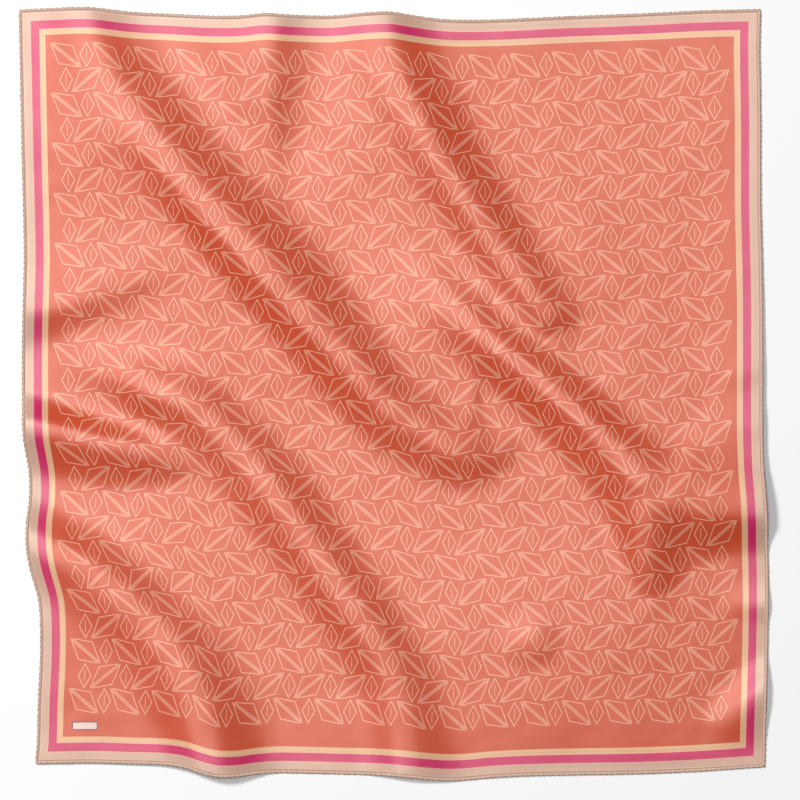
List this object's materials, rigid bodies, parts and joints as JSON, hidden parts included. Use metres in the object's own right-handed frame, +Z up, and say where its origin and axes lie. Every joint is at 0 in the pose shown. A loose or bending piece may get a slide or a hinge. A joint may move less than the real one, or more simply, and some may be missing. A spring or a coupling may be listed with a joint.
{
  "type": "silk square scarf",
  "caption": "Printed silk square scarf with a striped border and rolled hem, laid flat with soft diagonal folds.",
  "frame": {"origin": "middle of the laid outline's bounding box, on the surface the scarf lies on", "axes": "+Z up, away from the surface; +X along the top edge to the right; +Y from the bottom edge to the top edge, the slightly longer side of the laid outline"},
  "size_m": [0.8827, 0.9127, 0.0161],
  "materials": {
    "silk_print": "coral silk twill with a fine peach line print and a beige, pink and peach striped border, soft satin sheen",
    "silk_hem": "beige silk, hand-rolled hem with small whip stitches, soft sheen"
  },
  "bodies": {
    "root": {"panel": "silk_print", "hem_top": "silk_hem", "hem_bottom": "silk_hem", "hem_left": "silk_hem", "hem_right": "silk_hem"}
  },
  "joints": []
}
